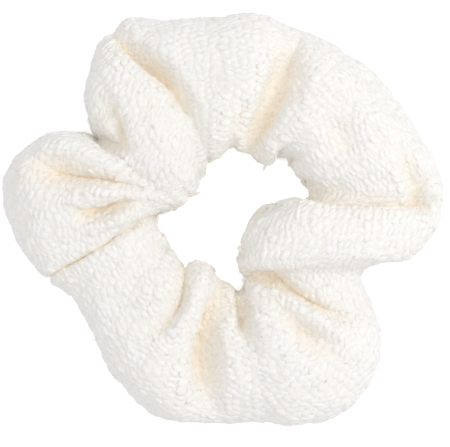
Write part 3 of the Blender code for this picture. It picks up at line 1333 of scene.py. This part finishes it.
@dataclass
class LooseFibres:
    """Bent fibres that stand off the cloth and blur its outline."""

    cover: ClothCover
    finish: LooseFibre
    name: str
    count: int = 9800
    shortest: float = 0.0008
    longest: float = 0.0028
    radius: float = 0.000032
    lean: float = 0.75
    seed: int = 5
    root: float = 0.00045

    def strand(self) -> tuple[np.ndarray, np.ndarray]:
        """Model one straight fibre of three lengths.

        Returns:
            Its vertices, a unit thick and one long from its root, and its triangles.
        """
        deselect_all()
        bpy.ops.mesh.primitive_cylinder_add(vertices=3, radius=1.0, depth=1.0, location=(0.0, 0.0, 0.5))
        bpy.ops.object.transform_apply(location=True, rotation=False, scale=False)
        return take_pattern((1.0 / 3.0, 2.0 / 3.0))

    def build(self) -> bpy.types.Object:
        """Plant the fibres all over the cloth.

        Returns:
            The fibres as one piece.
        """
        strand, faces = self.strand()
        random = np.random.default_rng(self.seed)
        points = self.cover.points.reshape(-1, 3)
        normals = self.cover.normals.reshape(-1, 3)
        chosen = random.choice(len(points), self.count, replace=False)
        normal = normals[chosen]
        stray = random.normal(size=(self.count, 3))
        heading = unit(normal * (1.0 - self.lean) + unit(stray) * self.lean)
        inward = np.minimum(np.sum(heading * normal, axis=1, keepdims=True), 0.0)
        heading -= 1.6 * inward * normal
        curl = random.normal(size=(self.count, 3)) * 0.45
        side = unit(np.cross(heading, curl))
        other = np.cross(heading, side)
        length = random.uniform(self.shortest, self.longest, self.count)[:, None, None]
        x, y, z = (strand[None, :, i, None] for i in range(3))
        made = (
            (points[chosen] + normal * self.root)[:, None, :]
            + length * (heading[:, None, :] * z + curl[:, None, :] * z**2)
            + self.radius * (1.0 - 0.5 * z) * (side[:, None, :] * x + other[:, None, :] * y)
        )
        made[..., 2] = np.maximum(made[..., 2], FLOOR_GAP)
        piece = mesh_piece(self.name, made.reshape(-1, 3), copied(faces, len(strand), self.count))
        put_on_cover(piece, self.finish.material(self.name + "_fibre"))
        LOG.info("%s: %d fibres", self.name, self.count)
        return piece


@dataclass
class SeamThread:
    """One of a lockstitch's two threads, lying along a seam's groove."""

    name: str
    route: np.ndarray
    normals: np.ndarray
    hand: float
    finish: bpy.types.Material
    radius: float = 0.00015
    stitch: float = 0.0025
    sway: float = 0.00018
    sides: int = 6

    def build(self) -> bpy.types.Object:
        """Sweep the thread along its route, with its stitches.

        Returns:
            The thread, which stands for the solid of the same name.
        """
        heading = unit(np.gradient(self.route, axis=0))
        beside = unit(np.cross(heading, self.normals))
        above = np.cross(beside, heading)
        run = np.concatenate([[0.0], np.cumsum(np.linalg.norm(np.diff(self.route, axis=0), axis=1))])
        swing = np.cos(run / self.stitch * math.pi)[:, None]
        centre = self.route + beside * self.hand * (self.sway + 0.4 * self.sway * swing)
        centre = centre + above * (0.0001 + self.hand * swing * self.sway * 0.6)
        centre[:, 2] = np.maximum(centre[:, 2], self.radius + 0.05 * MM)
        angle = np.arange(self.sides) / self.sides * math.tau
        across, up = (way(angle)[None, :, None] for way in (np.cos, np.sin))
        ring = beside[:, None] * across + above[:, None] * up
        points = (centre[:, None] + self.radius * ring).reshape(-1, 3)
        index = np.arange(len(points)).reshape(len(centre), self.sides)
        around = np.roll(index, -1, axis=1)
        faces = np.stack([index[:-1], index[1:], around[1:], around[:-1]], axis=-1).reshape(-1, 4)
        start, end = index[0], index[-1]
        caps = np.array([start[[0, 1, 2, 3]], start[[0, 3, 4, 5]], end[[3, 2, 1, 0]], end[[5, 4, 3, 0]]])
        piece = mesh_piece(self.name + "_stitches", points, np.concatenate([faces, caps]))
        put_on_cover(piece, self.finish)
        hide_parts(self.name)
        LOG.info("%s: %.0f mm", self.name, run[-1] / MM)
        return piece


# --------------------------------------------------------------------------- stage


@dataclass
class Studio:
    """Plain white floor, soft light and the camera straight above."""

    lens: float = 200.0
    height: float = 0.7665
    world: float = 0.82

    def build(self) -> None:
        """Add the floor, the lights and the camera."""
        deselect_all()
        bpy.ops.mesh.primitive_plane_add(size=4.0, location=(0.0, 0.0, -0.0002))
        floor = bpy.context.object
        floor.name = "plain_floor"
        floor.visible_diffuse = False
        floor.data.materials.append(PaleFloor().material())
        world = bpy.data.worlds.new("soft_white_room")
        bpy.context.scene.world = world
        world.use_nodes = True
        back = next(node for node in world.node_tree.nodes if node.type == "BACKGROUND")
        back.inputs["Color"].default_value = (1.0, 1.0, 1.0, 1.0)
        back.inputs["Strength"].default_value = self.world
        for name, place, size, power in (
            ("key_softbox", (0.36, 0.10, 0.48), 0.30, 0.95),
            ("fill_softbox", (-0.6, -0.5, 0.6), 0.9, 0.3),
        ):
            lamp = bpy.data.lights.new(name, "AREA")
            lamp.size = size
            lamp.energy = power
            holder = bpy.data.objects.new(name, lamp)
            bpy.context.scene.collection.objects.link(holder)
            holder.location = place
            holder.rotation_euler = (-Vector(place)).to_track_quat("-Z", "Y").to_euler()
        camera = bpy.data.cameras.new("view_from_above")
        camera.lens = self.lens
        camera.sensor_width = 36.0
        camera.clip_start = 0.01
        eye = bpy.data.objects.new("view_from_above", camera)
        bpy.context.scene.collection.objects.link(eye)
        eye.location = (0.00015, -0.0009, self.height)
        bpy.context.scene.camera = eye
        bpy.context.scene.view_settings.view_transform = "Standard"
        bpy.context.scene.cycles.max_bounces = 16
        bpy.context.scene.cycles.diffuse_bounces = 12


def dress_frame_nodes(thread: bpy.types.Material) -> None:
    """Give the elastic and the thread of its join their own finishes.

    Args:
        thread: The sewing thread's material.
    """
    elastic = BraidedElastic().material()
    for name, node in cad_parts.items():
        if name.startswith("elastic"):
            node.data.materials.clear()
            node.data.materials.append(elastic if name == "elastic_band" else thread)
            LOG.info("dressed %s", name)


def main() -> None:
    """Build and dress the scrunchie, piece by piece."""
    logging.basicConfig(level=logging.INFO, format="%(name)s: %(message)s")
    Studio().build()
    thread = SewingThread().material()
    dress_frame_nodes(thread)
    cover = ClothCover(WovenCloth())
    cloth = cover.build()
    on_cloth = YarnCrowns(cover, CrownYarn()).build()
    on_cloth.append(LooseFibres(cover, LooseFibre(), "cloth_nap").build())
    shiny = LooseFibre(colour=(0.97, 0.965, 0.95), warm=(0.95, 0.94, 0.92), roughness=0.35, gloss=0.6)
    ends = LooseFibres(
        cover,
        shiny,
        "shiny_yarn_ends",
        count=70,
        shortest=0.0022,
        longest=0.0042,
        radius=0.000062,
        lean=0.6,
        seed=8,
    )
    on_cloth.append(ends.build())
    seams = (
        ("closing_seam", cover.points[0], cover.normals[0]),
        ("long_seam", cover.points[:, 0], cover.normals[:, 0]),
    )
    for seam, route, normals in seams:
        for use, hand in (("needle_thread", 1.0), ("bobbin_thread", -1.0)):
            SeamThread(f"{seam}_{use}", route, normals, hand, thread).build()


if __name__ == "__main__":
    main()
